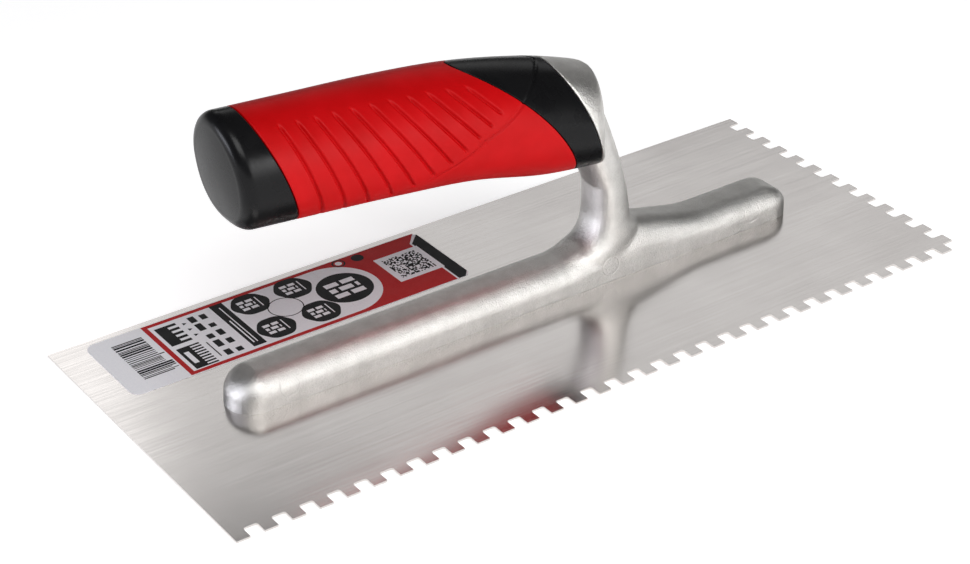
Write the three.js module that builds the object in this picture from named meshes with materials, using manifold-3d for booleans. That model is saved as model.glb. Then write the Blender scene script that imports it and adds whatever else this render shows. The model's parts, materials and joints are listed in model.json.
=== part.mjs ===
// A notched trowel: a stainless blade riveted under a die-cast spine, whose post
// carries a two-shot grip. Millimetres, +Z up. The origin is the middle of the
// blade's underside, +X points at the notched short edge and -Y at the notched long edge.
import * as THREE from 'three';
import { mergeVertices } from 'three/addons/utils/BufferGeometryUtils.js';
import Module from 'manifold-3d';

const wasm = await Module();
wasm.setup();

// ---------------------------------------------------------------- dimensions
const GAP = 0.3;                    // clearance where one piece sits inside another
const FAR = 200;                    // reaches past every piece

const BLADE_LENGTH = 280;
const BLADE_WIDTH = 120;
const BLADE_THICKNESS = 0.7;
const NOTCH = 4.5;                  // width and depth of a square notch
const NOTCH_CORNER = 0.8;
const LONG_EDGE_TEETH = 31;
const SHORT_EDGE_TEETH = 13;

const BAR_REAR = -109.3;            // ends of the bar that lies on the blade
const BAR_FRONT = 108.5;
const BAR_HALF_WIDTH = 9;
const BAR_HEIGHT = 11.3;            // above the blade
const BAR_TOP_RADIUS = 5.5;
const BAR_REAR_DRAW = 1.4;          // the rear end rounds over this much more than the sides
const BAR_REAR_LEAN = 1.2;          // draft of the rear end over the bar's height
const BAR_FRONT_CORNER = 6;
const BAR_STATIONS = 26;
const RISE_START = 69;              // the bar climbs from here to the foot of the post
const RISE_SLOPE = 0.25;
const RISE_BLEND = 2;
const RISE_PEAK = 42;
const RISE_REAR = 14;

const POST_BOTTOM = 6;
const POST_TOP = 73;
const POST_REAR = 27.6;             // rear face of the post, above its fillet
const POST_REAR_FILLET = 12;
const POST_FRONT = 41.1;            // front face of the post at POST_FOOT
const POST_FOOT = 22;
const POST_FRONT_FILLET = 3;
const POST_FRONT_SLOPE = 0.12;
const POST_FRONT_CURVE = 0.0039;
const POST_ROUNDNESS = 2.6;
const POST_DRAFT = 0.02;            // narrowing of each side for each millimetre of height

const GRIP_REAR = -105.6;
const GRIP_FRONT = 30.4;            // the form runs on to here, inside the head
const GRIP_STATION = 27.2;          // spacing of the heights below, from the rear end forward
const GRIP_CROWN = [98.7, 96.75, 94.75, 91.5, 85.6, 77.2];
const GRIP_BELLY = [62.1, 59.7, 57.1, 53.8, 47.6, 45];
const GRIP_HALF_WIDTH = [16.1, 19.2];   // rear, front
const CROWN_ROUNDNESS = 1.82;       // exponents of the oval section, above and below its middle
const BELLY_ROUNDNESS = 2.41;
const GRIP_END_RADIUS = 4.2;
const SLEEVE_THICKNESS = 3;
const CORE_REAR = -100;

const COLLAR_TOP = new THREE.Vector2(8.7, 84);          // raked face between grip and head
const COLLAR_BOTTOM = new THREE.Vector2(23.3, 45.5);
const FLANGE_THICKNESS = 3;
const HEAD_DEPTH = 13.5;            // from the raked face to the nose of the head
const HEAD_HALF_HEIGHT = 20.6;      // at the raked face
const HEAD_HALF_WIDTH = 18.9;
const CROWN_FALL = 0.85;            // drop of the crown for each millimetre forward
const HEAD_BLUNT = 0.985;           // the nose ends in a small flat
const NOSE_START = 1.63;            // exponents of the head's width, from the raked face
const NOSE_END = 1.75;              // to the nose
const CHIN_RISE = 2.2;              // rise of the underside for each millimetre forward

const TANG_REAR = -75;
const TANG_FRONT = 24;
const TANG_HALF_HEIGHT = 6;
const TANG_HALF_WIDTH = 7;
const TANG_ROUNDNESS = 4;

const RIVET_COUNT = 8;
const RIVET_PITCH = 26;
const RIVET_HEAD_RADIUS = 4;
const RIVET_SHANK_RADIUS = 2.4;
const RIVET_LENGTH = 8;
const RIVET_TIP = 0.5;
const RIVET_GAP = 0.2;

const SCREW_Z = 79.4;
const WASHER_SEAT = -90;
const WASHER_THICKNESS = 1.4;
const WASHER_RADIUS = 7;
const SEAT_GAP = 0.05;              // between faces that bear on each other
const SCREW_LENGTH = 30;
const SCREW_RADIUS = 2.9;
const SCREW_HEAD_RADIUS = 5;
const SCREW_HEAD_HEIGHT = 4;
const SOCKET_RADIUS = 2.5;
const SOCKET_DEPTH = 2.5;
const COUNTERBORE_RADIUS = 8;

const LABEL_LEFT = -128.9;
const LABEL_RIGHT = -3.7;
const LABEL_NEAR = 22.3;
const LABEL_FAR = 57.3;
const LABEL_CORNER = 4;
const LABEL_THICKNESS = 0.12;

// ---------------------------------------------------------------- materials
const finish = (color, roughness, metalness) =>
  new THREE.MeshStandardMaterial({ color, roughness, metalness });
const STAINLESS = finish(0xb9b4b0, 0.3, 1);
const CAST_ALUMINIUM = finish(0xb4b0a8, 0.5, 1);
const RED_RUBBER = finish(0xd8161a, 0.6, 0);
const BLACK_PLASTIC = finish(0x1b1b1c, 0.4, 0);
const STEEL = finish(0xa8a8a8, 0.35, 1);
const LABEL_FILM = finish(0xb23a3c, 0.45, 0);

// ---------------------------------------------------------------- solids
function solid(geometry) {
  const bare = geometry.index ? geometry.toNonIndexed() : geometry.clone();
  bare.deleteAttribute('normal');
  bare.deleteAttribute('uv');
  const merged = mergeVertices(bare, 1e-4);
  const mesh = new wasm.Mesh({
    numProp: 3,
    vertProperties: new Float32Array(merged.attributes.position.array),
    triVerts: new Uint32Array(merged.index.array),
  });
  return new wasm.Manifold(mesh);
}

function geometryOf(manifold) {
  const mesh = manifold.getMesh();
  const geometry = new THREE.BufferGeometry();
  geometry.setAttribute('position', new THREE.BufferAttribute(mesh.vertProperties, 3));
  geometry.setIndex(new THREE.BufferAttribute(mesh.triVerts, 1));
  geometry.computeVertexNormals();
  return geometry;
}

// A closed skin through rings of points. Point 0 and the middle point of a ring lie on
// y = 0 and the rest mirror each other, so strips between mirror images close each end.
function loft(rings) {
  const count = rings[0].length;
  const half = count / 2;
  const corners = [];
  const quad = (a, b, c, d) => corners.push(a, b, c, a, c, d);
  for (let r = 0; r + 1 < rings.length; r += 1) {
    for (let i = 0; i < count; i += 1) {
      const next = (i + 1) % count;
      quad(rings[r][i], rings[r][next], rings[r + 1][next], rings[r + 1][i]);
    }
  }
  const first = rings[0];
  const last = rings[rings.length - 1];
  corners.push(first[0], first[count - 1], first[1]);
  corners.push(last[0], last[1], last[count - 1]);
  for (let i = 1; i < half - 1; i += 1) {
    quad(first[i], first[count - i], first[count - i - 1], first[i + 1]);
    quad(last[i], last[i + 1], last[count - i - 1], last[count - i]);
  }
  corners.push(first[half - 1], first[half + 1], first[half]);
  corners.push(last[half - 1], last[half], last[half + 1]);
  return solid(new THREE.BufferGeometry().setFromPoints(corners));
}

// Point of a unit superellipse.
function oval(angle, exponent) {
  const bend = (value) => Math.sign(value) * Math.abs(value) ** (2 / exponent);
  return [bend(Math.cos(angle)), bend(Math.sin(angle))];
}

// A shape drawn in the XZ plane, cut through the whole width of the tool.
function sideCutter(points) {
  const depth = 2 * FAR;
  const geometry = new THREE.ExtrudeGeometry(new THREE.Shape(points), { depth, bevelEnabled: false });
  geometry.rotateX(Math.PI / 2);
  geometry.translate(0, FAR, 0);
  return solid(geometry);
}

// A turned piece from (radius, height) pairs, standing along +Z or lying along +X.
function turnedUp(profile, segments) {
  const points = profile.map(([radius, height]) => new THREE.Vector2(radius, height));
  return new THREE.LatheGeometry(points, segments).rotateX(Math.PI / 2);
}

function turnedAlong(profile, segments) {
  const points = profile.map(([radius, height]) => new THREE.Vector2(radius, height));
  return new THREE.LatheGeometry(points, segments).rotateZ(-Math.PI / 2);
}

// ---------------------------------------------------------------- blade and rivets
// One edge of teeth, walked from its start corner: tooth, notch, tooth, notch.
function notchedEdge(shape, start, along, inward, length, teeth) {
  const pitch = length / teeth;
  const at = (distance, depth) => start.clone()
    .addScaledVector(along, distance)
    .addScaledVector(inward, depth);
  for (let i = 0; i < teeth - 1; i += 1) {
    const open = i * pitch + NOTCH;
    const close = (i + 1) * pitch;
    const lip = at(open, 0);
    const wallEnd = at(open, NOTCH - NOTCH_CORNER);
    const corner = at(open, NOTCH);
    const floorStart = at(open + NOTCH_CORNER, NOTCH);
    const floorEnd = at(close - NOTCH_CORNER, NOTCH);
    const farCorner = at(close, NOTCH);
    const farWall = at(close, NOTCH - NOTCH_CORNER);
    const farLip = at(close, 0);
    shape.lineTo(lip.x, lip.y);
    shape.lineTo(wallEnd.x, wallEnd.y);
    shape.quadraticCurveTo(corner.x, corner.y, floorStart.x, floorStart.y);
    shape.lineTo(floorEnd.x, floorEnd.y);
    shape.quadraticCurveTo(farCorner.x, farCorner.y, farWall.x, farWall.y);
    shape.lineTo(farLip.x, farLip.y);
  }
}

function bladeOutline() {
  const right = BLADE_LENGTH / 2;
  const far = BLADE_WIDTH / 2;
  const shape = new THREE.Shape();
  shape.moveTo(-right, -far);
  notchedEdge(shape, new THREE.Vector2(-right, -far), new THREE.Vector2(1, 0),
    new THREE.Vector2(0, 1), BLADE_LENGTH, LONG_EDGE_TEETH);
  shape.lineTo(right - NOTCH, -far);
  shape.lineTo(right - NOTCH, -far + NOTCH);
  shape.lineTo(right, -far + NOTCH);
  const shortEdge = new THREE.Shape();
  shortEdge.moveTo(right, far);
  notchedEdge(shortEdge, new THREE.Vector2(right, far), new THREE.Vector2(0, -1),
    new THREE.Vector2(-1, 0), BLADE_WIDTH, SHORT_EDGE_TEETH);
  const teeth = shortEdge.getPoints(2).reverse();
  teeth.forEach((point) => shape.lineTo(point.x, point.y));
  shape.lineTo(-right, far);
  shape.closePath();
  return shape;
}

const rivetPlaces = Array.from({ length: RIVET_COUNT },
  (_, i) => (i - (RIVET_COUNT - 1) / 2) * RIVET_PITCH);

function makeBlade() {
  let blade = solid(new THREE.ExtrudeGeometry(bladeOutline(),
    { depth: BLADE_THICKNESS, bevelEnabled: false, curveSegments: 2 }));
  const head = RIVET_HEAD_RADIUS + RIVET_GAP;
  const shank = RIVET_SHANK_RADIUS + RIVET_GAP;
  const countersink = turnedUp([
    [0, -1], [head, -1], [head, 0], [shank, BLADE_THICKNESS], [shank, 1], [0, 1],
  ], 16);
  for (const x of rivetPlaces) {
    blade = blade.subtract(solid(countersink.clone().translate(x, 0, 0)));
  }
  return geometryOf(blade);
}

function makeRivet() {
  return turnedUp([
    [0, 0], [RIVET_HEAD_RADIUS, 0], [RIVET_SHANK_RADIUS, BLADE_THICKNESS],
    [RIVET_SHANK_RADIUS, RIVET_LENGTH - RIVET_TIP],
    [RIVET_SHANK_RADIUS - RIVET_TIP, RIVET_LENGTH], [0, RIVET_LENGTH],
  ], 16);
}

// ---------------------------------------------------------------- grip envelope
function heightLine(heights) {
  const points = heights.map((z, i) => new THREE.Vector2(GRIP_REAR + i * GRIP_STATION, z));
  return new THREE.SplineCurve(points);
}

const crownLine = heightLine(GRIP_CROWN);
const bellyLine = heightLine(GRIP_BELLY);

function gripSection(share) {
  const crown = crownLine.getPoint(share);
  const belly = bellyLine.getPoint(share);
  return {
    x: crown.x,
    middle: (crown.y + belly.y) / 2,
    halfHeight: (crown.y - belly.y) / 2,
    halfWidth: THREE.MathUtils.lerp(...GRIP_HALF_WIDTH, share),
  };
}

// Point of the grip's section: pointed above its middle, fuller below.
function gripOval(angle) {
  return oval(angle, Math.cos(angle) > 0 ? CROWN_ROUNDNESS : BELLY_ROUNDNESS);
}

// An upright ring of that outline, from its crown round by -Y.
function uprightRing({ x, middle, halfHeight, halfWidth }, outline, sides) {
  const ring = [];
  for (let i = 0; i < sides; i += 1) {
    const [up, across] = outline((2 * Math.PI * i) / sides);
    ring.push(new THREE.Vector3(x, -halfWidth * across, middle + halfHeight * up));
  }
  return ring;
}

// The grip's outer form, drawn in by `inset` all round, with its rounded rear end.
function gripForm(inset) {
  const sides = 36;
  const roundSteps = 4;
  const stations = 14;
  const length = GRIP_FRONT - GRIP_REAR;
  const rings = [];
  const addRing = (share, drawnIn) => {
    const section = gripSection(share);
    section.halfHeight -= drawnIn;
    section.halfWidth -= drawnIn;
    rings.push(uprightRing(section, gripOval, sides));
  };
  for (let i = 0; i <= roundSteps; i += 1) {
    const angle = (Math.PI / 2) * (i / roundSteps);
    const depth = GRIP_END_RADIUS * (1 - Math.cos(angle));
    addRing(depth / length, inset + GRIP_END_RADIUS * (1 - Math.sin(angle)));
  }
  for (let i = 1; i <= stations; i += 1) {
    addRing(THREE.MathUtils.lerp(GRIP_END_RADIUS / length, 1, i / stations), inset);
  }
  return loft(rings);
}

// The raked face: `up` runs along it and `out` points forward from it.
const rakeUp = COLLAR_TOP.clone().sub(COLLAR_BOTTOM).normalize();
const rakeOut = new THREE.Vector2(rakeUp.y, -rakeUp.x);
const onRake = (rise, forward) => COLLAR_BOTTOM.clone()
  .addScaledVector(rakeUp, rise)
  .addScaledVector(rakeOut, forward);

// Everything behind the raked face, from `rise` along it and up.
function behindRake(rise, forward) {
  const low = onRake(rise, forward);
  const high = onRake(FAR, forward);
  return sideCutter([low, high, new THREE.Vector2(-FAR, high.y), new THREE.Vector2(-FAR, low.y)]);
}

// Side views of the two edges of the red sleeve.
const sleeveFrontEdge = new THREE.QuadraticBezierCurve(
  new THREE.Vector2(-28.8, 93), new THREE.Vector2(2.2, 78), new THREE.Vector2(16.3, 40));
const sleeveRearEdge = new THREE.LineCurve(
  new THREE.Vector2(-99.6, 100), new THREE.Vector2(-84.2, 56));

// Everything behind one of those edges, moved `shift` along X.
function behindEdge(edge, shift) {
  const points = edge.getPoints(8).map((point) => new THREE.Vector2(point.x + shift, point.y));
  const top = points[0];
  const bottom = points[points.length - 1];
  return sideCutter([
    new THREE.Vector2(-FAR, FAR), new THREE.Vector2(top.x, FAR), ...points,
    new THREE.Vector2(bottom.x, 0), new THREE.Vector2(-FAR, 0),
  ].reverse());
}

function behindPlane(x) {
  return sideCutter([[-FAR, 0], [x, 0], [x, FAR], [-FAR, FAR]].map(([a, b]) => new THREE.Vector2(a, b)));
}

// The tang follows the middle of the grip; `clearance` grows it into its socket.
function tangForm(clearance) {
  const rings = [];
  const steps = 7;
  const length = GRIP_FRONT - GRIP_REAR;
  for (let i = 0; i <= steps; i += 1) {
    const x = THREE.MathUtils.lerp(TANG_REAR - clearance, TANG_FRONT, i / steps);
    const section = gripSection((x - GRIP_REAR) / length);
    section.halfHeight = TANG_HALF_HEIGHT + clearance;
    section.halfWidth = TANG_HALF_WIDTH + clearance;
    rings.push(uprightRing(section, (angle) => oval(angle, TANG_ROUNDNESS), 20));
  }
  return loft(rings);
}

function screwBore(radius, from, to) {
  return solid(turnedAlong([[0, from], [radius, from], [radius, to], [0, to]], 20)
    .translate(0, 0, SCREW_Z));
}

// ---------------------------------------------------------------- spine casting
function barHeight(x) {
  const climb = RISE_SLOPE * RISE_BLEND * Math.log(1 + Math.exp((RISE_START - x) / RISE_BLEND));
  if (x >= RISE_PEAK) return BAR_HEIGHT + climb;
  const peak = RISE_SLOPE * (RISE_START - RISE_PEAK);
  return BAR_HEIGHT + peak * Math.max(0, (x - RISE_REAR) / (RISE_PEAK - RISE_REAR));
}

// Half of the bar's outline seen from above, from its front tip to its rear tip, at a
// `share` of the bar's height.
function barHalfOutline(inset, share) {
  const halfWidth = BAR_HALF_WIDTH - inset;
  const arcSteps = 5;
  const points = [[BAR_FRONT - inset, 0]];
  const cornerX = BAR_FRONT - BAR_FRONT_CORNER;
  const cornerY = BAR_HALF_WIDTH - BAR_FRONT_CORNER;
  const cornerRadius = BAR_FRONT_CORNER - inset;
  for (let i = 0; i <= arcSteps; i += 1) {
    const angle = (Math.PI / 2) * (i / arcSteps);
    points.push([cornerX + cornerRadius * Math.cos(angle), cornerY + cornerRadius * Math.sin(angle)]);
  }
  const rearX = BAR_REAR + BAR_HALF_WIDTH;
  for (let i = 1; i < BAR_STATIONS; i += 1) {
    points.push([THREE.MathUtils.lerp(cornerX, rearX, i / BAR_STATIONS), halfWidth]);
  }
  const rearReach = BAR_HALF_WIDTH - inset * BAR_REAR_DRAW - BAR_REAR_LEAN * share;
  const rearSteps = 7;
  for (let i = 0; i <= rearSteps; i += 1) {
    const angle = (Math.PI / 2) * (i / rearSteps);
    points.push([rearX - rearReach * Math.sin(angle), halfWidth * Math.cos(angle)]);
  }
  points[points.length - 1][1] = 0;
  return points;
}

function barRing(inset, share) {
  const half = barHalfOutline(inset, share);
  const mirrored = half.slice(1, -1).reverse().map(([x, y]) => [x, -y]);
  return [...half, ...mirrored]
    .map(([x, y]) => new THREE.Vector3(x, y, BLADE_THICKNESS + share * barHeight(x)));
}

function makeBar() {
  const rings = [barRing(0, 0)];
  const roundSteps = 5;
  for (let i = 0; i <= roundSteps; i += 1) {
    const angle = (Math.PI / 2) * (i / roundSteps);
    const inset = BAR_TOP_RADIUS * (1 - Math.cos(angle));
    rings.push(barRing(inset, 1 - (BAR_TOP_RADIUS / BAR_HEIGHT) * (1 - Math.sin(angle))));
  }
  return loft(rings);
}

// Where a round fillet of this radius stands out from the wall it meets, at this height.
function filletReach(radius, height) {
  if (height >= radius) return 0;
  return radius - Math.sqrt(radius ** 2 - (radius - Math.max(height, 0)) ** 2);
}

function postRing(z) {
  const floor = BLADE_THICKNESS + BAR_HEIGHT;
  const above = z - POST_FOOT;
  const foot = floor + RISE_SLOPE * (RISE_START - RISE_PEAK);
  const rakeX = onRake((z - COLLAR_BOTTOM.y) / rakeUp.y, 0).x;
  const rear = Math.min(POST_REAR - filletReach(POST_REAR_FILLET, z - floor), rakeX);
  const front = POST_FRONT - POST_FRONT_SLOPE * above - POST_FRONT_CURVE * Math.max(above, 0) ** 2
    + filletReach(POST_FRONT_FILLET, z - foot);
  const halfWidth = BAR_HALF_WIDTH - POST_DRAFT * (z - POST_BOTTOM);
  const sides = 32;
  const ring = [];
  for (let i = 0; i < sides; i += 1) {
    const [u, v] = oval((2 * Math.PI * i) / sides, POST_ROUNDNESS);
    ring.push(new THREE.Vector3((front + rear) / 2 + u * (front - rear) / 2, v * halfWidth, z));
  }
  return ring;
}

function makePost() {
  const fillet = [0, 1, 2.5, 4.5, 7, 9.5, 12].map((rise) => BLADE_THICKNESS + BAR_HEIGHT + rise);
  const upper = [32, 38, 41, 44, 50, 57, 63, 68, POST_TOP];
  return loft([POST_BOTTOM, ...fillet, ...upper].map(postRing));
}

// The head swells from the post to the full section of the grip at the raked face.
function makeHead() {
  const sides = 36;
  const steps = 7;
  const rings = [];
  for (let k = 0; k <= steps; k += 1) {
    const share = HEAD_BLUNT * Math.sin((Math.PI / 2) * (k / steps));
    const forward = HEAD_DEPTH * share;
    const nose = (1 - share ** NOSE_START) ** (1 / NOSE_END);
    const crown = HEAD_HALF_HEIGHT - CROWN_FALL * forward;
    const chin = -HEAD_HALF_HEIGHT + CHIN_RISE * forward;
    const halfWidth = HEAD_HALF_WIDTH * nose;
    const ring = [];
    for (let i = 0; i < sides; i += 1) {
      const [up, across] = gripOval((2 * Math.PI * i) / sides);
      const place = onRake(HEAD_HALF_HEIGHT + (crown + chin) / 2 + up * (crown - chin) / 2, forward);
      ring.push(new THREE.Vector3(place.x, -across * halfWidth, place.y));
    }
    rings.push(ring);
  }
  return loft(rings);
}

function makeFlange() {
  return gripForm(0)
    .intersect(behindRake(-FAR / 10, FLANGE_THICKNESS))
    .subtract(behindRake(-FAR / 10, 0));
}

function makeCasting() {
  let casting = makeBar()
    .add(makePost())
    .add(makeHead().intersect(gripForm(0)))
    .subtract(behindRake(0, 0))
    .add(makeFlange())
    .add(tangForm(0))
    .subtract(screwBore(SCREW_RADIUS + GAP, -FAR / 2, WASHER_SEAT + SCREW_LENGTH));
  const hole = turnedUp([
    [0, 0], [RIVET_SHANK_RADIUS + RIVET_GAP, 0],
    [RIVET_SHANK_RADIUS + RIVET_GAP, RIVET_LENGTH + GAP], [0, RIVET_LENGTH + GAP],
  ], 16);
  for (const x of rivetPlaces) {
    casting = casting.subtract(solid(hole.clone().translate(x, 0, 0)));
  }
  return geometryOf(casting);
}

// ---------------------------------------------------------------- grip
function makeCore() {
  const hidden = gripForm(SLEEVE_THICKNESS + GAP);
  const collar = gripForm(0).subtract(behindEdge(sleeveFrontEdge, GAP));
  const core = hidden.add(collar)
    .intersect(behindRake(-FAR / 10, -GAP))
    .subtract(behindPlane(CORE_REAR))
    .subtract(tangForm(GAP))
    .subtract(screwBore(SCREW_RADIUS + GAP, -FAR / 2, WASHER_SEAT + SCREW_LENGTH))
    .subtract(screwBore(COUNTERBORE_RADIUS, -FAR / 2, WASHER_SEAT));
  return geometryOf(core);
}

function makeSleeve() {
  const sleeve = gripForm(0)
    .intersect(behindEdge(sleeveFrontEdge, 0))
    .subtract(behindEdge(sleeveRearEdge, GAP))
    .subtract(gripForm(SLEEVE_THICKNESS));
  return geometryOf(sleeve);
}

function makeEndCap() {
  const cavity = gripForm(SLEEVE_THICKNESS).subtract(behindPlane(CORE_REAR - GAP));
  const cap = gripForm(0)
    .intersect(behindEdge(sleeveRearEdge, 0))
    .subtract(cavity);
  return geometryOf(cap);
}

function makeWasher() {
  const hole = SCREW_RADIUS + GAP;
  return turnedAlong([
    [hole, 0], [WASHER_RADIUS, 0], [WASHER_RADIUS, WASHER_THICKNESS],
    [hole, WASHER_THICKNESS], [hole, 0],
  ], 20);
}

// The screw starts at the underside of its head; a six-sided socket opens to the rear.
function makeScrew() {
  const body = solid(turnedAlong([
    [0, -SCREW_HEAD_HEIGHT], [SCREW_HEAD_RADIUS, -SCREW_HEAD_HEIGHT], [SCREW_HEAD_RADIUS, 0],
    [SCREW_RADIUS, 0], [SCREW_RADIUS, SCREW_LENGTH - 1], [SCREW_RADIUS - 1, SCREW_LENGTH],
    [0, SCREW_LENGTH],
  ], 18));
  const socket = solid(turnedAlong([
    [0, -SCREW_HEAD_HEIGHT - 1], [SOCKET_RADIUS, -SCREW_HEAD_HEIGHT - 1],
    [SOCKET_RADIUS, -SCREW_HEAD_HEIGHT + SOCKET_DEPTH], [0, -SCREW_HEAD_HEIGHT + SOCKET_DEPTH],
  ], 6));
  return geometryOf(body.subtract(socket));
}

// ---------------------------------------------------------------- label
function makeLabel() {
  const shape = new THREE.Shape();
  const corner = LABEL_CORNER;
  shape.moveTo(LABEL_LEFT + corner, LABEL_NEAR);
  shape.lineTo(LABEL_RIGHT - corner, LABEL_NEAR);
  shape.quadraticCurveTo(LABEL_RIGHT, LABEL_NEAR, LABEL_RIGHT, LABEL_NEAR + corner);
  shape.lineTo(LABEL_RIGHT, LABEL_FAR - corner);
  shape.quadraticCurveTo(LABEL_RIGHT, LABEL_FAR, LABEL_RIGHT - corner, LABEL_FAR);
  shape.lineTo(LABEL_LEFT + corner, LABEL_FAR);
  shape.quadraticCurveTo(LABEL_LEFT, LABEL_FAR, LABEL_LEFT, LABEL_FAR - corner);
  shape.lineTo(LABEL_LEFT, LABEL_NEAR + corner);
  shape.quadraticCurveTo(LABEL_LEFT, LABEL_NEAR, LABEL_LEFT + corner, LABEL_NEAR);
  return new THREE.ExtrudeGeometry(shape,
    { depth: LABEL_THICKNESS, bevelEnabled: false, curveSegments: 4 });
}

// ---------------------------------------------------------------- assembly
const trowel = new THREE.Group();

function place(name, geometry, material, x = 0, y = 0, z = 0) {
  const mesh = new THREE.Mesh(geometry, material);
  mesh.name = name;
  mesh.position.set(x, y, z);
  trowel.add(mesh);
}

place('blade', makeBlade(), STAINLESS);
place('spine_casting', makeCasting(), CAST_ALUMINIUM);
rivetPlaces.forEach((x, i) => place(`rivet_${i + 1}`, makeRivet(), STEEL, x));
place('grip_core', makeCore(), BLACK_PLASTIC);
place('grip_sleeve', makeSleeve(), RED_RUBBER);
place('end_cap', makeEndCap(), BLACK_PLASTIC);
const washerX = WASHER_SEAT - SEAT_GAP - WASHER_THICKNESS;
place('grip_washer', makeWasher(), STEEL, washerX, 0, SCREW_Z);
place('grip_screw', makeScrew(), STEEL, washerX - SEAT_GAP, 0, SCREW_Z);
place('product_label', makeLabel(), LABEL_FILM, 0, 0, BLADE_THICKNESS);

export default trowel;
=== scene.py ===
"""A notched trowel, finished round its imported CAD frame.

Shapes are worked out in millimetres in the frame of the CAD model (+X towards the notched
short edge, -Y towards the notched long edge, +Z up) and turned into metres as each mesh is made.
"""
import json
import math
import random

import bmesh
import bpy
import numpy as np
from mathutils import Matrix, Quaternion, Vector

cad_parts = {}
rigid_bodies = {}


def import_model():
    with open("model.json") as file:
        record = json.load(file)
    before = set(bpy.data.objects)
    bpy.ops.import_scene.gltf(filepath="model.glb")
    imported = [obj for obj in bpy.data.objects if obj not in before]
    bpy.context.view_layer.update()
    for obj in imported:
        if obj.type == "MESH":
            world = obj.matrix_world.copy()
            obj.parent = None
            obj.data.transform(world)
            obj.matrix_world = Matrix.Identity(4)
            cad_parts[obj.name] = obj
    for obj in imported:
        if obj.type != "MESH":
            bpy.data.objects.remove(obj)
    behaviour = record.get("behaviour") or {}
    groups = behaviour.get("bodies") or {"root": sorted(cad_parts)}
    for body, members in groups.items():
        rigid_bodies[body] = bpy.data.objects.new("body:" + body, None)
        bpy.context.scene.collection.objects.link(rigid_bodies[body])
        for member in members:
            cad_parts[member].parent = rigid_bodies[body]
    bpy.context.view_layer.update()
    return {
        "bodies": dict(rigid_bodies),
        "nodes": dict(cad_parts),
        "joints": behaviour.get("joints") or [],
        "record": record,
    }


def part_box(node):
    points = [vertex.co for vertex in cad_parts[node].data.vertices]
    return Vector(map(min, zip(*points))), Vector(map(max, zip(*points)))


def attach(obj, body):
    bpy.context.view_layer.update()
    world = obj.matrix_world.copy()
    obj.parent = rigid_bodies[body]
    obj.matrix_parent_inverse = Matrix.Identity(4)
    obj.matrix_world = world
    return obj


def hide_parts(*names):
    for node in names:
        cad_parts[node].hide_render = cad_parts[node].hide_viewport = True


MM = 0.001

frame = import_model()
random.seed(7)


def box_mm(node):
    low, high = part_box(node)
    return low / MM, high / MM


# ------------------------------------------------------------------ dimensions
BLADE_TOP = box_mm("blade")[1].z
CASTING_LOW, CASTING_HIGH = box_mm("spine_casting")
GRIP_REAR = box_mm("end_cap")[0].x
LABEL_LOW, LABEL_HIGH = box_mm("product_label")

GAP = 0.3                    # seam between two mouldings
GRIP_STATION = 27.2          # spacing of the heights below, from the rear end forward
GRIP_CROWN = [98.7, 96.75, 94.75, 91.5, 85.6, 77.2]
GRIP_BELLY = [62.1, 59.7, 57.1, 53.8, 47.6, 45]
GRIP_HALF_WIDTH = [16.1, 19.2]
CROWN_ROUNDNESS = 1.82       # exponents of the oval section, above and below its middle
BELLY_ROUNDNESS = 2.41
GRIP_END_RADIUS = 4.2
GRIP_END_LEAN = 0.09         # lean of the rear face about the height END_MIDDLE
END_MIDDLE, END_DOME = 75, 0.7
WALL = 3
SOCKET_INSET = 6             # from the grip's form to the core's inside
EDGE_RADIUS = 0.35           # rounding of a moulded edge
EDGE_STEPS = np.array([0, 0.04, 0.1, 0.18, 0.27, 0.36])   # places of the rings over such an edge
RING_SPACING = 0.27

COLLAR_TOP = Vector((8.7, 84))
COLLAR_BOTTOM = Vector((23.3, 45.5))
FLANGE_THICKNESS = 0.8
HEAD_DEPTH = 13.5
CROWN_FALL = 0.85
CHIN_RISE = 2.2
NOSE_START, NOSE_END = 1.63, 1.75
HEAD_BLUNT = 0.985

# side views of the sleeve's two edges, as the ends and middle handle of a curve
SLEEVE_FRONT_EDGE = [(-28.8, 93), (2.2, 78), (16.3, 40)]
SLEEVE_REAR_EDGE = [(-99.6, 100), (-91.9, 78), (-84.2, 56)]
CORE_REAR = -100

BAR_HALF_WIDTH = 9
BAR_HEIGHT = 11.3
BAR_TOP_RADIUS = 7
BAR_REAR_DRAW = 1.4
BAR_REAR_LEAN = 1.2
BAR_FRONT_CORNER = 6
BAR_FRONT_REACH, BAR_FRONT_DRAW, BAR_FRONT_ROUNDNESS = 10, 1.6, 2.8
FOOT_SUNK = 0.45             # the bar's foot reaches into the sheet, which hides its soft edge
RISE_START, RISE_SLOPE, RISE_BLEND = 69, 0.25, 2
RISE_PEAK, RISE_REAR = 42, 14

POST_BOTTOM, POST_TOP = 6, 73
POST_REAR, POST_REAR_FILLET = 27.6, 12
POST_FRONT, POST_FOOT, POST_FRONT_FILLET = 41.1, 22, 3
POST_FRONT_SLOPE, POST_FRONT_CURVE = 0.12, 0.0039
POST_ROUNDNESS = 2.6
POST_DRAFT = 0.02

TANG_REAR, TANG_FRONT = -75, 24
TANG_HALF_HEIGHT, TANG_HALF_WIDTH = 6, 7
TANG_ROUNDNESS = 4

RIVETS = 8
RIVET_SHANK_RADIUS, RIVET_TIP = 2.4, 0.5

CAST_VOXEL = 0.4
BLEND_ROUNDS, SOFTEN_ROUNDS = 60, 4

# distances over which the wide blends of the casting come in and go out: at the foot of the
# post, its height over the bar and its place along X, and at the neck, distance ahead of the
# raked face and height
FOOT_LOW, FOOT_HIGH = (-3, 0), (16, 22)
FOOT_REAR, FOOT_FRONT = (6, 12), (50, 56)
NECK_AHEAD, NECK_LOW, NECK_HIGH = (1.4, 3), (30, 36), (52, 60)

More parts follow.
